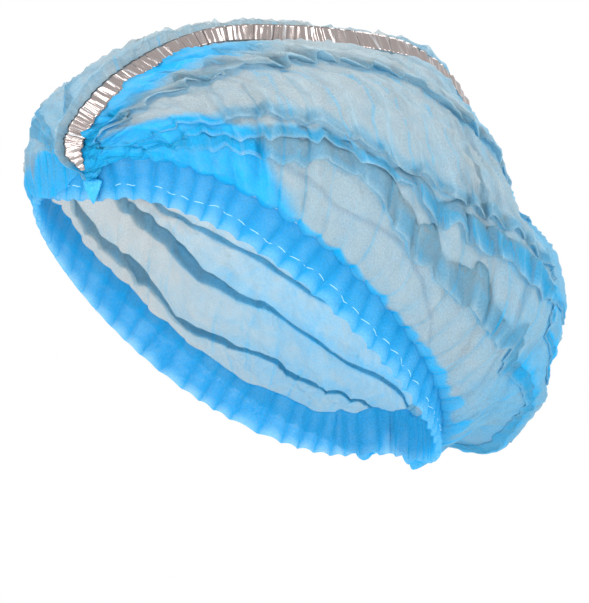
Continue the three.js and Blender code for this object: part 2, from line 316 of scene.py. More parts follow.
def giveThickness(piece, thickness):
    wall = piece.modifiers.new("thickness", "SOLIDIFY")
    wall.thickness = thickness
    wall.offset = -1
    wall.use_even_offset = False


# A link into a socket, or a value set on it
def plug(tree, socket, value):
    if isinstance(value, bpy.types.NodeSocket):
        tree.links.new(value, socket)
    else:
        socket.default_value = value


def addNode(tree, kind, inputs=None, **settings):
    made = tree.nodes.new("ShaderNode" + kind)
    for name, value in settings.items():
        setattr(made, name, value)
    for name, value in (inputs or {}).items():
        plug(tree, made.inputs[name], value)
    return made


def newMaterial(name):
    material = bpy.data.materials.new(name)
    material.use_nodes = True
    material.node_tree.nodes.clear()
    return material, material.node_tree


def mathNode(tree, operation, first, second=0.0, third=0.0, clamp=False):
    made = addNode(tree, "Math", operation=operation, use_clamp=clamp)
    for socket, value in zip(made.inputs, (first, second, third)):
        plug(tree, socket, value)
    return made.outputs[0]


def mixColours(tree, share, first, second):
    made = addNode(tree, "Mix", data_type="RGBA")
    colours = [socket for socket in made.inputs if socket.type == "RGBA"]
    for socket, value in zip([made.inputs[0]] + colours, (share, first, second)):
        plug(tree, socket, value)
    return [socket for socket in made.outputs if socket.type == "RGBA"][0]


# Noise over a place in the cloth's own plane
def planeNoise(tree, place, scale, detail, roughness):
    return addNode(tree, "TexNoise", {
        "Vector": place, "Scale": scale, "Detail": detail, "Roughness": roughness,
    }, noise_dimensions="2D").outputs["Fac"]


# A normal from a height in metres
def bumpFrom(tree, height):
    return addNode(tree, "Bump", {"Height": height, "Distance": 1.0}).outputs["Normal"]


def solidFace(tree, colour, roughness, height, metallic=0.0):
    face = addNode(tree, "BsdfPrincipled", {
        "Base Color": colour, "Roughness": roughness, "Metallic": metallic,
        "Normal": bumpFrom(tree, height),
    }).outputs[0]
    addNode(tree, "OutputMaterial", {"Surface": face})


# Spunbonded cloth: pale and see-through in one layer, deep blue where layers lie on each other,
# with clouds of fibres, pressed dots, a line in the valley of each gather and small sharp creases,
# and with painted highlights on the folds' edges and the ruffles' crests
clothLook = {
    "paleColour": (0.51, 0.58, 0.60, 1),
    "deepColour": (0.012, 0.62, 1.0, 1),
    # Colour of the painted highlights on the folds' edges and the ruffles' crests
    "edgeHighlightColour": (0.64, 0.82, 0.90, 1),
    "paleCover": 0.50,
    "deepCover": 0.80,
    "fibreScale": 1000,
    "fibreShare": 0.35,
    "fibreHeight": 0.00004,
    "cloudScale": 75,
    "cloudShare": 0.28,
    "dotPitch": 0.0018,
    "dotShare": 0.4,
    "creaseScale": 55,
    "creaseWidth": 0.3,
    "creaseHeight": 0.0032,
    "lineWidth": 0.24,
    "lineShare": 0.42,
    "glow": 0.6,
    "roughness": 0.6,
    # Painted highlight on the ruffles' crests: its width and strength
    "crestHighlightWidth": 0.22,
    "crestHighlightShare": 0.4,
}
hemClothLook = {
    **clothLook,
    "paleColour": (0.30, 0.70, 0.94, 1),
    "deepColour": (0.010, 0.46, 0.82, 1),
    "deepCover": 0.85,
    "lineShare": 0.5,
    "lineWidth": 0.3,
    "creaseHeight": 0.0006,
}


# A value that the mesh keeps at its points
def floatFrom(tree, name):
    return addNode(tree, "Attribute", attribute_name=name).outputs["Fac"]


# A narrow line along each gather, from a phase that is kept at the mesh's points: in its valley
# where the wave is a sine, and on its crest where it is a cosine
def valleyLine(tree, attribute, kind, width):
    half = mathNode(tree, "MULTIPLY", floatFrom(tree, attribute), 0.5)
    wave = mathNode(tree, "ABSOLUTE", mathNode(tree, kind, half))
    return mathNode(tree, "SUBTRACT", 1.0, mathNode(tree, "DIVIDE", wave, width, clamp=True))


# The pressed dots: the product of a wave along the cloth and a wave across it
def dotPattern(tree, place, pitch):
    parts = addNode(tree, "SeparateXYZ", {0: place}).outputs
    waves = [mathNode(tree, "SINE", mathNode(tree, "MULTIPLY", parts[k], 2 * math.pi / pitch))
             for k in (0, 1)]
    return mathNode(tree, "MULTIPLY", waves[0], waves[1])


# How blue the cloth is at each place, from 0 to 1, and its colour there, with painted highlights on
# the folds' edges and the ruffles' crests
def clothColour(tree, place, look):
    clouds = mathNode(tree, "SUBTRACT", planeNoise(tree, place, look["cloudScale"], 3.0, 0.75), 0.5)
    line = valleyLine(tree, "phase", "SINE", look["lineWidth"])
    line = mathNode(tree, "MULTIPLY", line, floatFrom(tree, "pinched"))
    gathers = valleyLine(tree, "gather", "SINE", look["lineWidth"])
    line = mathNode(tree, "MULTIPLY_ADD", gathers, floatFrom(tree, "gatherShare"), line)
    share = mathNode(tree, "MULTIPLY_ADD", line, look["lineShare"], floatFrom(tree, "deep"))
    share = mathNode(tree, "MULTIPLY_ADD", clouds, look["cloudShare"] * 2, share, clamp=True)
    colour = mixColours(tree, share, look["paleColour"], look["deepColour"])
    # Painted highlight: a pale line on each ruffle's crest
    crest = valleyLine(tree, "phase", "COSINE", look["crestHighlightWidth"])
    crest = mathNode(tree, "MULTIPLY", crest, look["crestHighlightShare"])
    # Painted highlights: the folds' edges, and the ruffles' crests where the folds stand high, are
    # mixed towards the highlight colour
    edge, fold = floatFrom(tree, "edge"), floatFrom(tree, "fold")
    light = mathNode(tree, "MULTIPLY_ADD", crest, fold, edge, clamp=True)
    return share, mixColours(tree, light, colour, look["edgeHighlightColour"])


# The cloth's relief: small sharp creases, with fibres and pressed dots over them
def clothRelief(tree, place, fibre, look):
    crease = addNode(tree, "TexVoronoi", {
        "Vector": place, "Scale": look["creaseScale"],
    }, feature="DISTANCE_TO_EDGE", voronoi_dimensions="2D").outputs["Distance"]
    crease = mathNode(tree, "MINIMUM", crease, look["creaseWidth"])
    height = mathNode(tree, "MULTIPLY", crease, look["creaseHeight"])
    dots = dotPattern(tree, place, look["dotPitch"])
    grain = mathNode(tree, "MULTIPLY_ADD", dots, look["dotShare"], fibre)
    return bumpFrom(tree, mathNode(tree, "MULTIPLY_ADD", grain, look["fibreHeight"], height))


# The cloth's cover, which is the share it doesn't let through, grows with its layers and fibres
def clothMaterial(name, look):
    material, tree = newMaterial(name)
    place = addNode(tree, "TexCoord").outputs["UV"]
    fibre = planeNoise(tree, place, look["fibreScale"], 2.0, 0.7)
    share, colour = clothColour(tree, place, look)
    extra = look["deepCover"] - look["paleCover"]
    cover = mathNode(tree, "MULTIPLY_ADD", share, extra, look["paleCover"])
    speck = mathNode(tree, "MULTIPLY_ADD", fibre, look["fibreShare"] * 2, 1 - look["fibreShare"])
    cover = mathNode(tree, "MULTIPLY", cover, speck, clamp=True)
    normal = clothRelief(tree, place, fibre, look)
    face = addNode(tree, "BsdfPrincipled", {
        "Base Color": colour, "Roughness": look["roughness"], "Normal": normal,
    }).outputs[0]
    through = addNode(tree, "BsdfTranslucent", {"Color": colour, "Normal": normal}).outputs[0]
    body = addNode(tree, "MixShader", {0: look["glow"], 1: face, 2: through}).outputs[0]
    clear = addNode(tree, "BsdfTransparent").outputs[0]
    whole = addNode(tree, "MixShader", {0: cover, 1: clear, 2: body}).outputs[0]
    addNode(tree, "OutputMaterial", {"Surface": whole})
    return material


# Foil: metal with a brown cast and a relief of narrow bands that run across the strip, with painted
# glints where the bands stand highest
foilLook = {
    "glintColour": (0.50, 0.50, 0.52, 1),
    "brownColour": (0.31, 0.27, 0.26, 1),
    "leastRoughness": 0.1,
    "moreRoughness": 0.2,
    "bandScale": 300,
    "bandHeight": 0.0006,
    "bandStretch": 0.16,
    "bandSharpness": 9.0,
    "bandOffset": -5.6,
}


def foilMaterial(look):
    material, tree = newMaterial("crimped_foil")
    place = addNode(tree, "Mapping", {
        "Vector": addNode(tree, "TexCoord").outputs["UV"], "Scale": (1, look["bandStretch"], 1),
    }).outputs[0]
    bands = planeNoise(tree, place, look["bandScale"], 2.0, 0.6)
    rough = mathNode(tree, "MULTIPLY_ADD", bands, look["moreRoughness"], look["leastRoughness"])
    # Painted glints: where the bands stand highest, the tint turns to the pale glint colour
    sharp = mathNode(tree, "MULTIPLY_ADD", bands, look["bandSharpness"], look["bandOffset"],
                     clamp=True)
    tint = mixColours(tree, sharp, look["brownColour"], look["glintColour"])
    height = mathNode(tree, "MULTIPLY", bands, look["bandHeight"])
    solidFace(tree, tint, rough, height, metallic=1.0)
    return material


# Pressed weld: the layers fused to a darker film, in fine ridges
weldLook = {
    "colour": (0.012, 0.30, 0.62, 1),
    "otherColour": (0.02, 0.40, 0.74, 1),
    "roughness": 0.38,
    "texture": ("TexVoronoi", "Distance"),
    "scale": 900,
    "height": 0.0004,
}

# Thread of the stitches, with a fine twist
threadLook = {
    "colour": (0.35, 0.70, 0.95, 1),
    "otherColour": (0.46, 0.77, 0.95, 1),
    "roughness": 0.7,
    "texture": ("TexNoise", "Fac"),
    "scale": 1500,
    "height": 0.0001,
}


# A finish of one fine texture, which mixes two colours and gives the relief
def texturedMaterial(name, look):
    material, tree = newMaterial(name)
    kind, output = look["texture"]
    place = addNode(tree, "TexCoord").outputs["Object"]
    texture = addNode(tree, kind, {"Vector": place, "Scale": look["scale"]}).outputs[output]
    colour = mixColours(tree, texture, look["colour"], look["otherColour"])
    height = mathNode(tree, "MULTIPLY", texture, look["height"])
    solidFace(tree, colour, look["roughness"], height)
    return material


cloth = clothMaterial("nonwoven_cloth", clothLook)
hemCloth = clothMaterial("hem_cloth", hemClothLook)
weld = texturedMaterial("pressed_weld", weldLook)
foil = foilMaterial(foilLook)
thread = texturedMaterial("stitch_thread", threadLook)
print("materials ready")


# Crown: the pleated sheet, as a left and a right half that meet on the middle fold's crest.
# Lengths are in metres. A pair named Sides is for the left and the right half. A Span is where
# something sets in, and a Window where it sets in and ends, as shares along or across the cap. A
# Waves has the waves along the cap, the shifts along and across from fold to fold, and a seed
crownLook = {
    "rows": 290,
    "panelColumns": (30, 12, 12, 30, 27),
    "tuckColumns": 5,
    "edgeColumns": 3,
    "middleRiserColumns": 6,
    "thickness": 0.00035,
    "foldBase": 0.0015,
    "foldThickness": 0.0008,
    "liftSides": (1, 0.65),
    "fadeSides": (1, 0.25),
    "fadeSpan": (0.15, 0.4),
    "leastFold": 0.12,
    "foldSpan": (0.1, 0.26),
    "upperFoldSpan": (0.02, 0.13),
    "frontFolds": 3,
    "backCalm": 0.6,
    "calmSpan": (0.5, 0.68),
    "tuckDepth": 0.0095,
    "tuckSides": (1, 0.45),
    "tuckWander": 0.35,
    "tuckWaves": (40, 0, 3, 31),
    "mostTuck": 0.55,
    "tuckDeep": (0.0, 0.42, 0.7, 0.32, 0.1),
    "tuckDeepSpan": (0, 0.6),
    "hiddenDeep": 0.3,
    "lipDeep": 0.25,
    "riserDeep": 0.1,
    # Painted highlight along the folds' edges: its width and strength
    "edgeHighlightWidth": 0.002,
    "edgeHighlight": 0.36,
    "edgeRound": 0.0004,
    "edgeBend": (0.2, 0.8),
    "lipWander": 0.0022,
    "lipWaves": (22, 7, 0, 11),
    "frillSides": (0.0026, 0.001),
    "frillWaves": (85, 0, 5, 21),
    "crestFade": 0.07,
    "crestSpan": (0.86, 1),
    "clearSpan": (0, 0.12),
    "plainDeep": 0.02,
    "backDeep": 0.43,
    "backDeepSpan": (0.5, 0.72),
    "patchNoise": (0.15, 0.04, 0.02, 121),
    "frontDeep": 1.0,
    "stackBorder": (0.05, 0.08),
    "topDeep": 0.9,
    "topWindow": (0.72, 0.84, 0.97, 0.995),
    "topEndSpan": (0.25, 0.42),
    "farDeep": 0.3,
    "farDeepSpan": (0.15, 0.35),
    "rufflePitch": 0.017,
    "driftNoises": ((0.4, 0.03, 0.03, 41), (0.25, 0.011, 0.05, 42), (0.9, 0.07, 0.09, 44)),
    "ruffleDepth": 0.0026,
    "ruffleLeast": 0.7,
    "ruffleNoise": (0.5, 0.025, 0.03, 43),
    "ruffleLean": 7.0,
    "ruffleSway": 1.3,
    "panelRuffle": 0.36,
    "upperSlant": 50.0,
    "upperSlantFrom": 0.62,
    "upperSlantReach": 0.25,
    "upperRuffle": -0.15,
    "upperWindow": (0.58, 0.64, 0.8, 0.92),
    "upperSpan": (0.2, 0.32),
    "crestRuffle": 0.25,
    "crestCalmSpan": (0.84, 0.97),
    "pinchedSides": (0.2, -0.15),
    "pinchedNoise": (1.1, math.pi, 0.03, 45),
    "pinchedPlain": 0.6,
    "pinchedLoose": -0.5,
    "plainAcross": (0.3, 0.36, 0.6, 0.7),
    "plainAlong": (0.2, 0.26, 0.45, 0.6),
    "looseWindow": (0.5, 0.7, 0.93, 1),
    "puffNoise": (0.0022, 0.034, 0.034, 51),
    "puffFade": 0.5,
    "crumplePitch": 0.014,
    "crumpleDepth": 0.0017,
    "crumpleSlant": 0.6,
    "crumpleSeed": 61,
    "finePitch": 0.0065,
    "fineDepth": 0.0007,
    "fineSlant": 0.5,
    "fineSeed": 63,
    "crumpleLeast": 0.35,
    "crumpleStart": 0.3,
    "crumpleSpan": (0.02, 0.12),
    "gatherPitch": 0.0085,
    "gatherDepth": 0.0012,
    "gatherNoise": (0.4, 0.02, 0.04, 71),
    "gatherReach": 0.02,
    "reachNoise": (0.7, 0.0085, math.inf, 73),
    "fanReach": 2.2,
    "fanDepth": 0.4,
    "fanWindow": (0.2, 0.3, 0.6, 0.75),
    "fanLeast": 0.35,
    "fanNoise": (1.6, 0.011, math.inf, 75),
    "fanMost": 1.6,
    "backPuffLevels": (-0.018, 0.052),
    "backPuffDepth": 0.0125,
    "backPuffSpan": (0.45, 0.6),
    "napeSides": (0.008, 0.001),
    "napeAlong": (0.84, 0.92, 0.965, 1),
    "napeAcross": (0, 0.12, 0.6, 1),
    "borderPull": 0.0026,
    "borderWidth": 0.006,
    "hemDeep": 0.85,
    "hemShadow": 0.006,
    "hemShadowWander": 0.75,
    "hemShadowNoises": ((1, 0.012, math.inf, 81), (0.6, 0.005, math.inf, 83)),
    "hemShadowEdge": (0.001, 0.0015),
}

# Places of the folds' edges at steps along the cap, in the order along, lowest, second, third and
# highest. An edge's place goes from the hem (0) to the middle (1)
foldPlaces = np.array([
    (0.00, 0.17, 0.33, 0.52, 0.74),
    (0.10, 0.19, 0.30, 0.46, 0.74),
    (0.20, 0.205, 0.25, 0.37, 0.68),
    (0.30, 0.245, 0.29, 0.34, 0.655),
    (0.35, 0.22, 0.28, 0.345, 0.665),
    (0.40, 0.18, 0.235, 0.295, 0.69),
    (0.45, 0.155, 0.22, 0.27, 0.68),
    (0.50, 0.135, 0.21, 0.265, 0.63),
    (0.55, 0.13, 0.215, 0.28, 0.57),
    (0.60, 0.13, 0.22, 0.30, 0.55),
    (0.70, 0.14, 0.25, 0.37, 0.58),
    (0.80, 0.16, 0.28, 0.43, 0.64),
    (1.00, 0.16, 0.31, 0.50, 0.70),
])
foldHeights = (0.42, 0.46, 0.5, 0.52)
foldEase = 0.03  # the edges' places are averaged over this much on either side

# How far up the left side the stacked folds reach, at places along the cap
stackLimit = ((0.0, 0.08, 0.125, 0.18, 0.26, 0.34), (1.1, 0.85, 0.62, 0.40, 0.22, -0.08))


# How long the cloth is from the hem to the middle, at each place along
def sideLength(along, side):
    steps = 80
    across = np.linspace(0, 1, steps + 1)
    line = domePoint(along[:, None], across[None, :], side)
    return np.linalg.norm(np.diff(line, axis=1), axis=-1).sum(1)


def foldPlace(number, along):
    around = (np.maximum(along - foldEase, 0), along, np.minimum(along + foldEase, 1))
    places = [np.interp(at, foldPlaces[:, 0], foldPlaces[:, number]) for at in around]
    return sum(places) / len(places)


def foldNoise(noise, along, fold, side=0):
    waves, shiftAlong, shiftAcross, seed = noise
    x = along * waves + shiftAlong * fold
    return softNoise(x, along * 0 + shiftAcross * fold + side, seed + fold)


# One fold along the cap: its edge's place, how far the cloth tucks in under it, how far the fold
# has set in and how high it stands
def foldShape(fold, edge, along, length, side, look):
    far = int(side < 0)
    calm = 1 - look["backCalm"] * smooth(along, *look["calmSpan"])
    late = side > 0 and fold < look["frontFolds"]
    begin = smooth(along, *look["foldSpan" if late else "upperFoldSpan"])
    begin = np.maximum(begin, look["leastFold"])
    wander = foldNoise(look["lipWaves"], along, fold, side) * look["lipWander"]
    frill = foldNoise(look["frillWaves"], along, fold) * look["frillSides"][far] * calm
    nextEdge = foldPlace(fold + 1, along) + (wander + frill) / length
    vary = 1 + look["tuckWander"] * foldNoise(look["tuckWaves"], along, fold)
    reach = look["tuckDepth"] * look["tuckSides"][far]
    tuck = np.minimum(reach * calm * begin * vary / length, look["mostTuck"] * (nextEdge - edge))
    lift = foldHeights[fold] * capSize["foldHeight"] * calm * begin * look["liftSides"][far]
    return nextEdge, tuck, begin, lift


# A panel: flat cloth from one fold's edge to the next, bluest by the first, with a painted
# highlight line by the first
def panelColumns(fold, edges, lifts, begin, length, side, look):
    share = np.linspace(0, 1, look["panelColumns"][fold], endpoint=fold == len(foldHeights))
    wide = (edges[1] - edges[0])[:, None]
    low = lifts[0][:, None]
    under = np.maximum(1 - share * wide * length[:, None] / look["tuckDepth"], 0) * (fold > 0)
    deep = look["tuckDeep"][fold] * look["fadeSides"][side < 0]
    bright = 1 - look["edgeHighlightWidth"] / look["tuckDepth"]
    return np.broadcast_arrays(
        edges[0][:, None] + wide * share,
        low + (lifts[1] - low) * share,
        deep * smooth(under, *look["tuckDeepSpan"]),
        look["edgeHighlight"] * begin[:, None] * smooth(under, bright, 1))


# A fold: the cloth goes in under its edge, comes back over that and turns round the edge, which
# carries a painted highlight
def foldColumns(edge, tuck, begin, lift, length, look):
    edge, tuck, begin, lift = (part[:, None] for part in (edge, tuck, begin, lift))
    hidden, lowest = look["hiddenDeep"], look["foldThickness"]
    share = np.linspace(0, 1, look["tuckColumns"])
    back = share[::-1]
    rising = lowest + (lift - 2 * lowest) * (1 - back)
    bend = np.linspace(*look["edgeBend"], look["edgeColumns"])
    corner = np.sin(bend * np.pi) * look["edgeRound"] / length[:, None]
    return [
        np.broadcast_arrays(edge + tuck * share, 0.0, hidden, 0.0),
        np.broadcast_arrays(edge + tuck * back, rising, hidden, 0.0),
        np.broadcast_arrays(edge - corner, lift - lowest * (1 - bend), look["lipDeep"],
                            look["edgeHighlight"] * begin),
    ]


# The sheet's path across, row by row: its place, how high it stands, how many layers it shows and
# how much painted highlight it has. Each panel goes on under the next fold, and comes back to that
# fold's edge
def sheetPath(along, side, look):
    length = sideLength(along, side)
    edge, lift = np.zeros_like(along), np.zeros_like(along)
    parts = []
    for fold in range(len(foldHeights)):
        nextEdge, tuck, begin, nextLift = foldShape(fold, edge, along, length, side, look)
        parts.append(panelColumns(fold, (edge, nextEdge), (lift, 0), begin, length, side, look))
        parts += foldColumns(nextEdge, tuck, begin, nextLift, length, look)
        edge, lift = nextEdge, nextLift
    high = 0 if side > 0 else capSize["middleFoldHeight"]
    ends = (edge, np.ones_like(along))
    parts.append(panelColumns(len(foldHeights), ends, (lift, high), begin, length, side, look))
    if side > 0:
        share = np.linspace(0, 1, look["middleRiserColumns"])[1:]
        ends = np.ones((len(along), 1))
        parts.append(np.broadcast_arrays(ends, share * capSize["middleFoldHeight"],
                                         look["riserDeep"], 0.0))
    return (np.concatenate(part, 1) for part in zip(*parts))


# How blue the cloth shows where several layers gather: towards both welds and in the loose back,
# and on the left in the stack of folds over the forehead and temple
def regionDeep(row, place, rise, side, look):
    back = look["backDeep"] * smooth(row, *look["backDeepSpan"])
    if side < 0:
        return np.maximum(back, look["farDeep"] * (1 - smooth(row, *look["farDeepSpan"])))
    patchy = noiseFrom(look["patchNoise"], row, rise)
    limit = np.interp(row, *stackLimit)
    inside, outside = look["stackBorder"]
    stack = 1 - smooth(place, limit - inside, limit + outside)
    top = look["topDeep"] * window(place, *look["topWindow"])
    top = top * (1 - smooth(row, *look["topEndSpan"]))
    front = look["frontDeep"] * np.maximum(stack, top)
    return look["plainDeep"] + np.maximum(back, front) * (1 + patchy)


# Ruffles across the folds: their phase drifts along the cap and leans with the place across
def rufflePhase(place, run, rise, side, look):
    drift = sum(noiseFrom(noise, run, rise) for noise in look["driftNoises"])
    high = np.clip(place - look["upperSlantFrom"], 0, look["upperSlantReach"])
    slant = look["ruffleLean"] * place + look["upperSlant"] * high
    return 2 * np.pi * (run / look["rufflePitch"] + drift) + slant * side


# How deep the ruffles are: most on the folds' edges, and calm in the back and on the crest
def ruffleStrength(row, place, run, rise, height, look):
    upper = window(place, *look["upperWindow"]) * smooth(row, *look["upperSpan"])
    strength = look["ruffleDepth"] * atLeast(look["panelRuffle"], height)
    strength = strength * (look["ruffleLeast"] + noiseFrom(look["ruffleNoise"], run, rise))
    strength = strength * (1 + look["upperRuffle"] * upper)
    strength = strength * (1 - look["backCalm"] * smooth(row, *look["calmSpan"]))
    return strength * (1 + (look["crestRuffle"] - 1) * smooth(place, *look["crestCalmSpan"]))


# Where the ruffles are pinched to a line: in patches, mostly on the plain panel over the ear
def pinchedShare(row, place, phase, rise, side, look):
    plain = window(place, *look["plainAcross"]) * window(row, *look["plainAlong"]) * (side > 0)
    pinched = look["pinchedSides"][side < 0] + noiseFrom(look["pinchedNoise"], phase, rise)
    pinched = pinched + look["pinchedPlain"] * plain
    return np.clip(pinched + look["pinchedLoose"] * window(row, *look["looseWindow"]), 0, 1)


# Soft puffs, and crumples of two sizes whose creases slant opposite ways
def crumples(row, run, rise, fade, look):
    puff = look["puffFade"] * fade + window(row, *look["looseWindow"])
    puff = puff * noiseFrom(look["puffNoise"], run, rise)
    wide, fine = look["crumplePitch"], look["finePitch"]
    crumple = look["crumpleDepth"] * creasedNoise(
        (run + look["crumpleSlant"] * rise) / wide, rise / wide, look["crumpleSeed"])
    crumple = crumple + look["fineDepth"] * creasedNoise(
        run / fine, (rise - look["fineSlant"] * run) / fine, look["fineSeed"])
    start = atLeast(look["crumpleStart"], smooth(row, *look["crumpleSpan"]))
    return puff + crumple * atLeast(look["crumpleLeast"], fade) * start


# Gathers: cusped waves that fade away from the hem, and fan out further over the ear
def gathers(row, rise, side, look):
    run = blend("turn", row) * capSize["hemLength"]
    phase = run / look["gatherPitch"] + noiseFrom(look["gatherNoise"], run, rise)
    chosen = look["fanLeast"] + noiseFrom(look["fanNoise"], run, rise)
    fan = window(row, *look["fanWindow"]) * (side > 0) * np.clip(chosen, 0, look["fanMost"])
    reach = look["gatherReach"] * (1 + noiseFrom(look["reachNoise"], run, rise))
    share = np.exp(-rise / (reach * (1 + look["fanReach"] * fan)))
    wave = look["gatherDepth"] * (2 * np.sqrt(np.abs(np.sin(np.pi * phase))) - 1)
    return wave * share * (1 + look["fanDepth"] * fan), 2 * np.pi * phase, share


# The loose back hangs out between two levels, as a parabola of the level, where it faces backwards
def backBulge(base, off, row, side, look):
    low, high = look["backPuffLevels"]
    level = np.clip(1 - ((2 * base[..., 2] - low - high) / (high - low)) ** 2, 0, 1)
    backward = np.clip(off @ np.array([side, 1, 0]) / math.sqrt(2), 0, 1) ** 2
    return look["backPuffDepth"] * level * backward * smooth(row, *look["backPuffSpan"])


# The blue border over the hem, with an uneven edge
def hemShade(row, rise, look):
    run = blend("turn", row) * capSize["hemLength"]
    uneven = sum(noiseFrom(noise, run, rise) for noise in look["hemShadowNoises"])
    ragged = look["hemShadow"] * (1 + look["hemShadowWander"] * uneven)
    inside, outside = look["hemShadowEdge"]
    return look["hemDeep"] * (1 - smooth(rise, ragged - inside, ragged + outside))


# The nape sags, and the cloth's border is drawn in to the hem
def hangAndBorder(points, row, place, rise, side, look):
    drop = look["napeSides"][side < 0] * window(row, *look["napeAlong"])
    drop = drop * window(place, *look["napeAcross"])
    points = points - np.array([0, 0, 1]) * drop[..., None]
    hemOff, _ = openingFrame(blend("turn", row), side)
    pull = look["borderPull"] * (1 - smooth(rise, 0, look["borderWidth"]))
    return points - hemOff * pull[..., None]


# The crown's surface: the dome, raised by the folds, ruffled along their edges, gathered from the
# hem, and puffed and crumpled between
def crownHalf(side, look):
    along = np.linspace(0, 1, look["rows"])
    place, lift, deep, edge = sheetPath(along, side, look)
    row = along[:, None] + 0 * place
    run = row * capSize["middleLength"]
    rise = place * sideLength(along, side)[:, None]
    off, lengthwise = domeFrame(row, place, side)
    clear = smooth(place, *look["clearSpan"])
    height = np.minimum(lift / capSize["foldHeight"] / max(foldHeights), 1)
    fade = foldFade(row, capSize["fadeFront"])
    fade = fade * atLeast(look["fadeSides"][side < 0], smooth(row, *look["fadeSpan"]))
    phase = rufflePhase(place, run, rise, side, look)
    strength = ruffleStrength(row, place, run, rise, height, look) * fade * clear
    gather, gatherPhase, gatherShare = gathers(row, rise, side, look)
    base = domePoint(row, place, side)
    crest = foldFade(row, look["crestFade"])  # the middle fold sets in sooner than the others
    standing = fade + (crest - fade) * smooth(place, *look["crestSpan"])
    total = (lift + look["foldBase"] * clear) * standing + gather
    total = total + strength * (np.abs(np.sin(phase / 2)) * 2 - 1)
    loose = crumples(row, run, rise, fade, look) + backBulge(base, off, row, side, look)
    total = total + loose * clear
    points = hangAndBorder(base + off * total[..., None], row, place, rise, side, look)
    sway = strength * look["ruffleSway"] * np.cos(phase) * side
    points = points + lengthwise * sway[..., None]
    deep = np.maximum(deep + regionDeep(row, place, rise, side, look), hemShade(row, rise, look))
    steps = np.linalg.norm(np.diff(points, axis=1, prepend=points[:, :1]), axis=-1)
    uv = np.stack([run, np.cumsum(steps, axis=1)], -1)
    values = {
        "deep": np.clip(deep, 0, 1),
        "phase": phase,
        "gather": gatherPhase,
        "gatherShare": gatherShare,
        # how much painted highlight the folds' edges have
        "edge": edge * standing,
        # how high the folds stand, which sets the painted highlight on the ruffles' crests
        "fold": height * standing,
        "pinched": pinchedShare(row, place, phase, rise, side, look),
    }
    name = "crown_cloth_left" if side > 0 else "crown_cloth_right"
    piece = gridMesh(name, points, uv, values, side)
    piece.data.materials.append(cloth)
    giveThickness(piece, look["thickness"])
    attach(piece, "root")
    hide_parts("crown")
    return piece


crownLeft = crownHalf(1, crownLook)
crownRight = crownHalf(-1, crownLook)
print("crown made", len(crownLeft.data.polygons), "faces a side")


# Hems: cloth turned in round an elastic, drawn up into narrow gathers
hemLook = {
    "rows": 340,
    "ringColumns": 44,
    "square": 0.35,
    "gatherPitch": 0.0088,
    "gatherNoise": (0.35, 0.02, 1 / 0.7, 91),
    "gatherDepth": 0.0011,
    "depthLeast": 0.75,
    "depthNoise": (0.3, 0.03, math.inf, 93),
    "topNoise": (0.0016, 0.009, math.inf, 95),
    "edgeScallop": 0.0012,
    "pinch": 0.0008,
    "endGap": 0.00015,
    "deep": 0.85,
    "valleyDeep": 0.3,
    "valleyPower": 0.6,
    "lowPale": 0.45,
    "lowShare": 0.3,
    "linePinched": 0.5,
}


# The hem's faces: a flat tube whose outline is a superellipse, drawn in at its middle and rippled
# by its gathers. The angle goes round the outline, from the outer face over the upper edge
def hemPoint(turn, angle, side, look):
    off, up = openingFrame(turn, side)
    run = turn * capSize["hemLength"]
    square = look["square"]
    outline = np.sign(np.cos(angle)) * np.abs(np.cos(angle)) ** square
    rise = (np.sign(np.sin(angle)) * np.abs(np.sin(angle)) ** square + 1) / 2
    middle = 1 - (2 * rise - 1) ** 2
    thick = capSize["hemThickness"] / 2 - look["pinch"] * middle
    phase = run / look["gatherPitch"] + noiseFrom(look["gatherNoise"], run, rise)
    ripple = np.abs(np.sin(np.pi * phase))
    strength = look["depthLeast"] + noiseFrom(look["depthNoise"], run, rise)
    wave = look["gatherDepth"] * (2 * np.sqrt(ripple) - 1) * strength
    outward = capSize["hemThickness"] / 2 + outline * thick + wave
    scallop = look["edgeScallop"] * (ripple * (1 - rise) - 0.5)
    point = openingPoint(turn, side) + off * outward[..., None]
    uneven = rise * noiseFrom(look["topNoise"], run, rise)
    point = point + up * (rise * capSize["hemWidth"] + scallop + uneven)[..., None]
    return point, off, rise, phase, ripple


def hemHalf(side, look):
    ring = capSize["headBreadth"] / 2 * np.pi
    start = look["endGap"] / ring
    turn = np.linspace(start, 1 - start, look["rows"])[:, None]
    angle = np.linspace(0, 2 * np.pi, look["ringColumns"], endpoint=False)[None, :] + 0 * turn
    turn = turn + 0 * angle
    points, _, rise, phase, ripple = hemPoint(turn, angle, side, look)
    uv = np.stack([turn * capSize["hemLength"], rise * capSize["hemWidth"]], -1)
    valley = look["valleyDeep"] * (1 - ripple ** look["valleyPower"])
    low = look["lowPale"] * smooth(look["lowShare"] - rise, 0, look["lowShare"])
    name = "hem_cloth_left" if side > 0 else "hem_cloth_right"
    values = {
        "deep": np.clip(look["deep"] + valley - low, 0, 1),
        "phase": 2 * np.pi * phase,
        "pinched": 0 * phase + look["linePinched"],
    }
    piece = gridMesh(name, points, uv, values, -side, ring=True)
    piece.data.materials.append(hemCloth)
    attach(piece, "root")
    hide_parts("hem_left" if side > 0 else "hem_right")
    return piece


# Stitches: a row of short dashes on the hem's outer face, each a thin tube with closed ends
stitchLook = {
    "count": 46,
    "missing": -0.4,
    "missingNoise": (1, 1 / 0.7, math.inf, 113),
    "share": 0.72,
    "radius": 0.00015,
    "standOff": 0.5,
    "endPower": 6,
    "steps": 7,
    "sides": 6,
    "height": -0.05,
    "heightNoise": (0.03, 1 / 30, math.inf, 111),
    "first": 0.012,
    "reach": 0.976,
}


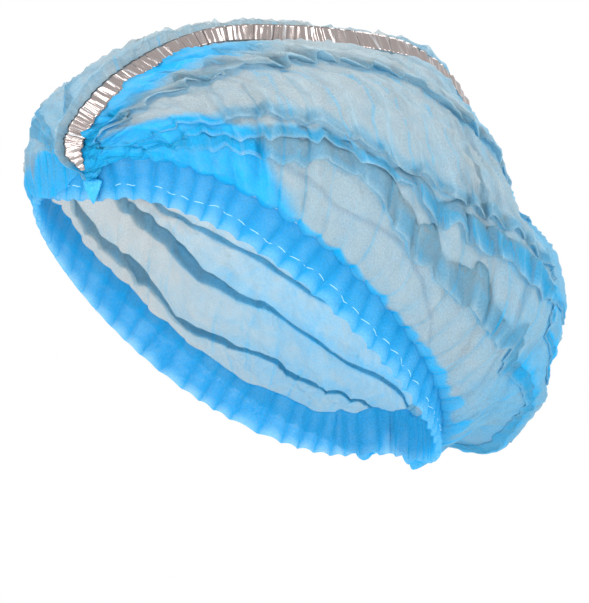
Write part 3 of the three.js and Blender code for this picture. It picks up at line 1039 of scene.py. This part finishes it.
def stitches(side, look):
    number = np.arange(look["count"])
    kept = number[noiseFrom(look["missingNoise"], number, number) > look["missing"]]
    dash = kept[:, None, None]
    step = np.linspace(-0.5, 0.5, look["steps"])[None, :, None]
    angle = np.linspace(0, 2 * np.pi, look["sides"], endpoint=False)[None, None, :]
    turn = (dash + 0.5 + step * look["share"]) / look["count"] + 0 * angle
    turn = look["first"] + look["reach"] * turn
    tilt = look["height"] + noiseFrom(look["heightNoise"], turn, turn)
    point, off, _, _, _ = hemPoint(turn, tilt, side, hemLook)
    _, up = openingFrame(turn, side)
    ends = np.clip(1 - (2 * step) ** look["endPower"], 0, 1)
    thin = look["radius"] * np.sqrt(ends) + 0 * turn
    away = (np.cos(angle) * thin + look["radius"] * look["standOff"])[..., None]
    point = point + off * away + up * (np.sin(angle) * thin)[..., None]
    points = point.reshape(-1, 3)
    size = look["steps"] * look["sides"]
    quads = ringQuads(np.arange(size).reshape(look["steps"], -1))
    quads = quads[:, ::-1] if side > 0 else quads
    quads = quads[None] + size * np.arange(len(kept))[:, None, None]
    name = "hem_stitches_left" if side > 0 else "hem_stitches_right"
    piece = meshOf(name, points, quads.reshape(-1, 4), points[:, :2], {})
    piece.data.materials.append(thread)
    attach(piece, "root")
    return piece


hemLeft = hemHalf(1, hemLook)
hemRight = hemHalf(-1, hemLook)
stitchesLeft = stitches(1, stitchLook)
stitchesRight = stitches(-1, stitchLook)
print("hems made")


# Foil strip: stands on the middle fold's riser and is crimped with the cloth
foilStripLook = {
    "rows": 520,
    "columns": 9,
    "first": 0.02,
    "last": 0.975,
    "thickness": 0.00012,
    "width": 0.0078,
    "foot": 0.0013,
    "away": 0.0007,
    "frontSpan": (0.2, 0.42),
    "frontNarrower": 0.003,
    "frontLean": 0.0075,
    "frontLeanSpan": (0, 0.075),
    "frontDrop": 0.001,
    "frontDropSpan": (0.06, 0.16),
    "backLean": 0.0065,
    "backSpan": (0.42, 0.56),
    "backEndSpan": (0.72, 0.97),
    "backEndPower": 0.7,
    "skewNoise": (0.002, 0.01, math.inf, 101),
    "crimpPitch": 0.0052,
    "crimpNoise": (0.4, 0.008, math.inf, 103),
    "crimpDepth": 0.00036,
    "foldPitch": 0.0125,
    "foldNoise": (0.2, 0.02, math.inf, 105),
    "foldDepth": 0.0009,
}


# How far the foil stands out sideways: crimps as a triangle wave, over folds as a bowed wave
def foilCrimps(run, share, look):
    skew = run + share * noiseFrom(look["skewNoise"], run, run)
    crimp = skew / look["crimpPitch"] + noiseFrom(look["crimpNoise"], skew, skew)
    crimp = np.arcsin(np.sin(2 * np.pi * crimp)) * look["crimpDepth"]
    fold = skew / look["foldPitch"] + noiseFrom(look["foldNoise"], run, run)
    return crimp + look["foldDepth"] * np.abs(np.sin(np.pi * fold))


def foilStrip(look):
    along = np.linspace(look["first"], look["last"], look["rows"])[:, None]
    share = np.linspace(0, 1, look["columns"])[None, :]
    row = along + 0 * share
    off, lengthwise = domeFrame(row, np.ones_like(row), 1)
    sideways = unit(np.cross(lengthwise, off))
    sideways = np.where(sideways[..., :1] < 0, -sideways, sideways)
    run = row * capSize["middleLength"]
    front = 1 - smooth(row, *look["frontSpan"])
    back = smooth(row, *look["backSpan"])
    back = back * (1 - smooth(row, *look["backEndSpan"])) ** look["backEndPower"]
    lean = look["frontLean"] * front * smooth(row, *look["frontLeanSpan"]) + look["backLean"] * back
    out = look["away"] + foilCrimps(run, share, look) + lean * (1 - share)
    high = look["foot"] + share * (look["width"] - look["frontNarrower"] * front)
    high = high + crownLook["foldBase"]
    high = high - look["frontDrop"] * front * smooth(row, *look["frontDropSpan"])
    high = high * foldFade(row, crownLook["crestFade"])
    points = domePoint(row, np.ones_like(row), 1) + off * high[..., None]
    points = points + sideways * out[..., None]
    uv = np.stack([run, share * look["width"] + 0 * run], -1)
    piece = gridMesh("foil_strip_crimped", points, uv, {}, -1)
    piece.data.materials.append(foil)
    giveThickness(piece, look["thickness"])
    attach(piece, "root")
    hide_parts("foil_strip")
    return piece


strip = foilStrip(foilStripLook)
print("foil strip made")


# Welds: the layers pressed together to a ridged tip that narrows downwards
tipLook = {
    "rows": 40,
    "ringColumns": 72,
    "halfWidth": 0.0052,
    "halfThickness": 0.0015,
    "above": 0.005,
    "below": 0.0062,
    "topSpan": (-0.05, 0.15),
    "taper": 1.4,
    "thinning": 0.75,
    "leastWidth": 0.0002,
    "leastThickness": 0.0001,
    "ridges": 14,
    "ridgeSlant": 0.6,
    "ridgeDepth": 0.12,
}


def pressedTip(name, turn, look):
    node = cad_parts[name]
    middle = np.mean([node.matrix_world @ Vector(corner) for corner in node.bound_box], axis=0)
    off, up = openingFrame(np.array(turn), 1)
    across = np.cross(up, off)
    down = np.linspace(0, 1, look["rows"])[:, None]
    angle = np.linspace(0, 2 * np.pi, look["ringColumns"], endpoint=False)[None, :]
    top = smooth(down, *look["topSpan"])
    width = look["halfWidth"] * (1 - down ** look["taper"]) * top + look["leastWidth"]
    thick = look["halfThickness"] * (1 - look["thinning"] * down) * top + look["leastThickness"]
    wave = 1 + look["ridgeDepth"] * np.cos(look["ridges"] * (angle + look["ridgeSlant"] * down))
    level = look["above"] - down * (look["above"] + look["below"]) + 0 * angle
    points = middle + across * (width * np.cos(angle))[..., None] + up * level[..., None]
    points = points + off * (thick * wave * np.sin(angle))[..., None]
    uv = np.stack([width * np.cos(angle), level], -1)
    piece = gridMesh(name + "_pressed", points, uv, {}, 1, ring=True)
    piece.data.materials.append(weld)
    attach(piece, "root")
    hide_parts(name)


pressedTip("front_weld", 0.0, tipLook)
pressedTip("back_weld", 1.0, tipLook)
print("welds made")


# Stage: a pale floor under the cap, white surroundings and soft lights. The surroundings light
# the cap a little more than the camera sees them
stageLook = {
    "floorDrop": 0.34,
    "floorRadius": (0.001, 1.1),
    "floorRings": 12,
    "floorSides": 96,
    "floorColour": (0.86, 0.86, 0.86, 1),
    "floorRoughness": 0.6,
    "white": (1, 1, 1, 1),
    "seenSurroundings": 1.0,
    "surroundings": 1.16,
}

# Lights: place, size and power. A place is given across, towards the camera and up, as it sees it
lightsLook = (
    ("key_light", (-0.8, 0.9, 1.4), 0.8, 11),
    ("side_light", (1.2, 0.4, 0.6), 0.6, 6),
    ("back_light", (0.3, -1.2, 1.2), 0.8, 8),
    ("low_light", (-0.5, 1.3, -0.2), 0.6, 9.5),
)


def makeFloor(look):
    angle = np.linspace(0, 2 * np.pi, look["floorSides"] + 1)[None, :]
    radius = np.linspace(*look["floorRadius"], look["floorRings"])[:, None]
    points = np.stack([radius * np.cos(angle), radius * np.sin(angle),
                       0 * radius * angle - look["floorDrop"]], -1)
    floor = gridMesh("floor", points, points[..., :2], {}, 1)
    material, tree = newMaterial("pale_floor")
    face = addNode(tree, "BsdfPrincipled", {
        "Base Color": look["floorColour"], "Roughness": look["floorRoughness"],
    }).outputs[0]
    addNode(tree, "OutputMaterial", {"Surface": face})
    floor.data.materials.append(material)


def makeWorld(look):
    world = bpy.data.worlds.new("white_surroundings")
    bpy.context.scene.world = world
    world.use_nodes = True
    tree = world.node_tree
    tree.nodes.clear()
    seen, light = (
        addNode(tree, "Background", {"Color": look["white"], "Strength": look[name]}).outputs[0]
        for name in ("seenSurroundings", "surroundings"))
    ray = addNode(tree, "LightPath").outputs["Is Camera Ray"]
    whole = addNode(tree, "MixShader", {0: ray, 1: light, 2: seen}).outputs[0]
    addNode(tree, "OutputWorld", {"Surface": whole})


def makeLights(lights):
    back, across, up = viewAxes(cameraLook["azimuth"], cameraLook["elevation"])
    for name, place, size, power in lights:
        data = bpy.data.lights.new(name, "AREA")
        data.size, data.energy = size, power
        light = bpy.data.objects.new(name, data)
        light.location = across * place[0] + back * place[1] + up * place[2]
        light.rotation_euler = light.location.to_track_quat("Z", "Y").to_euler()
        bpy.context.collection.objects.link(light)


makeFloor(stageLook)
makeWorld(stageLook)
makeLights(lightsLook)
bpy.context.scene.view_settings.view_transform = "Standard"
cycles = bpy.context.scene.cycles
cycles.max_bounces = 4
cycles.diffuse_bounces = 3
cycles.glossy_bounces = 2
cycles.transmission_bounces = 2
cycles.transparent_max_bounces = 16
print("stage and lights ready")
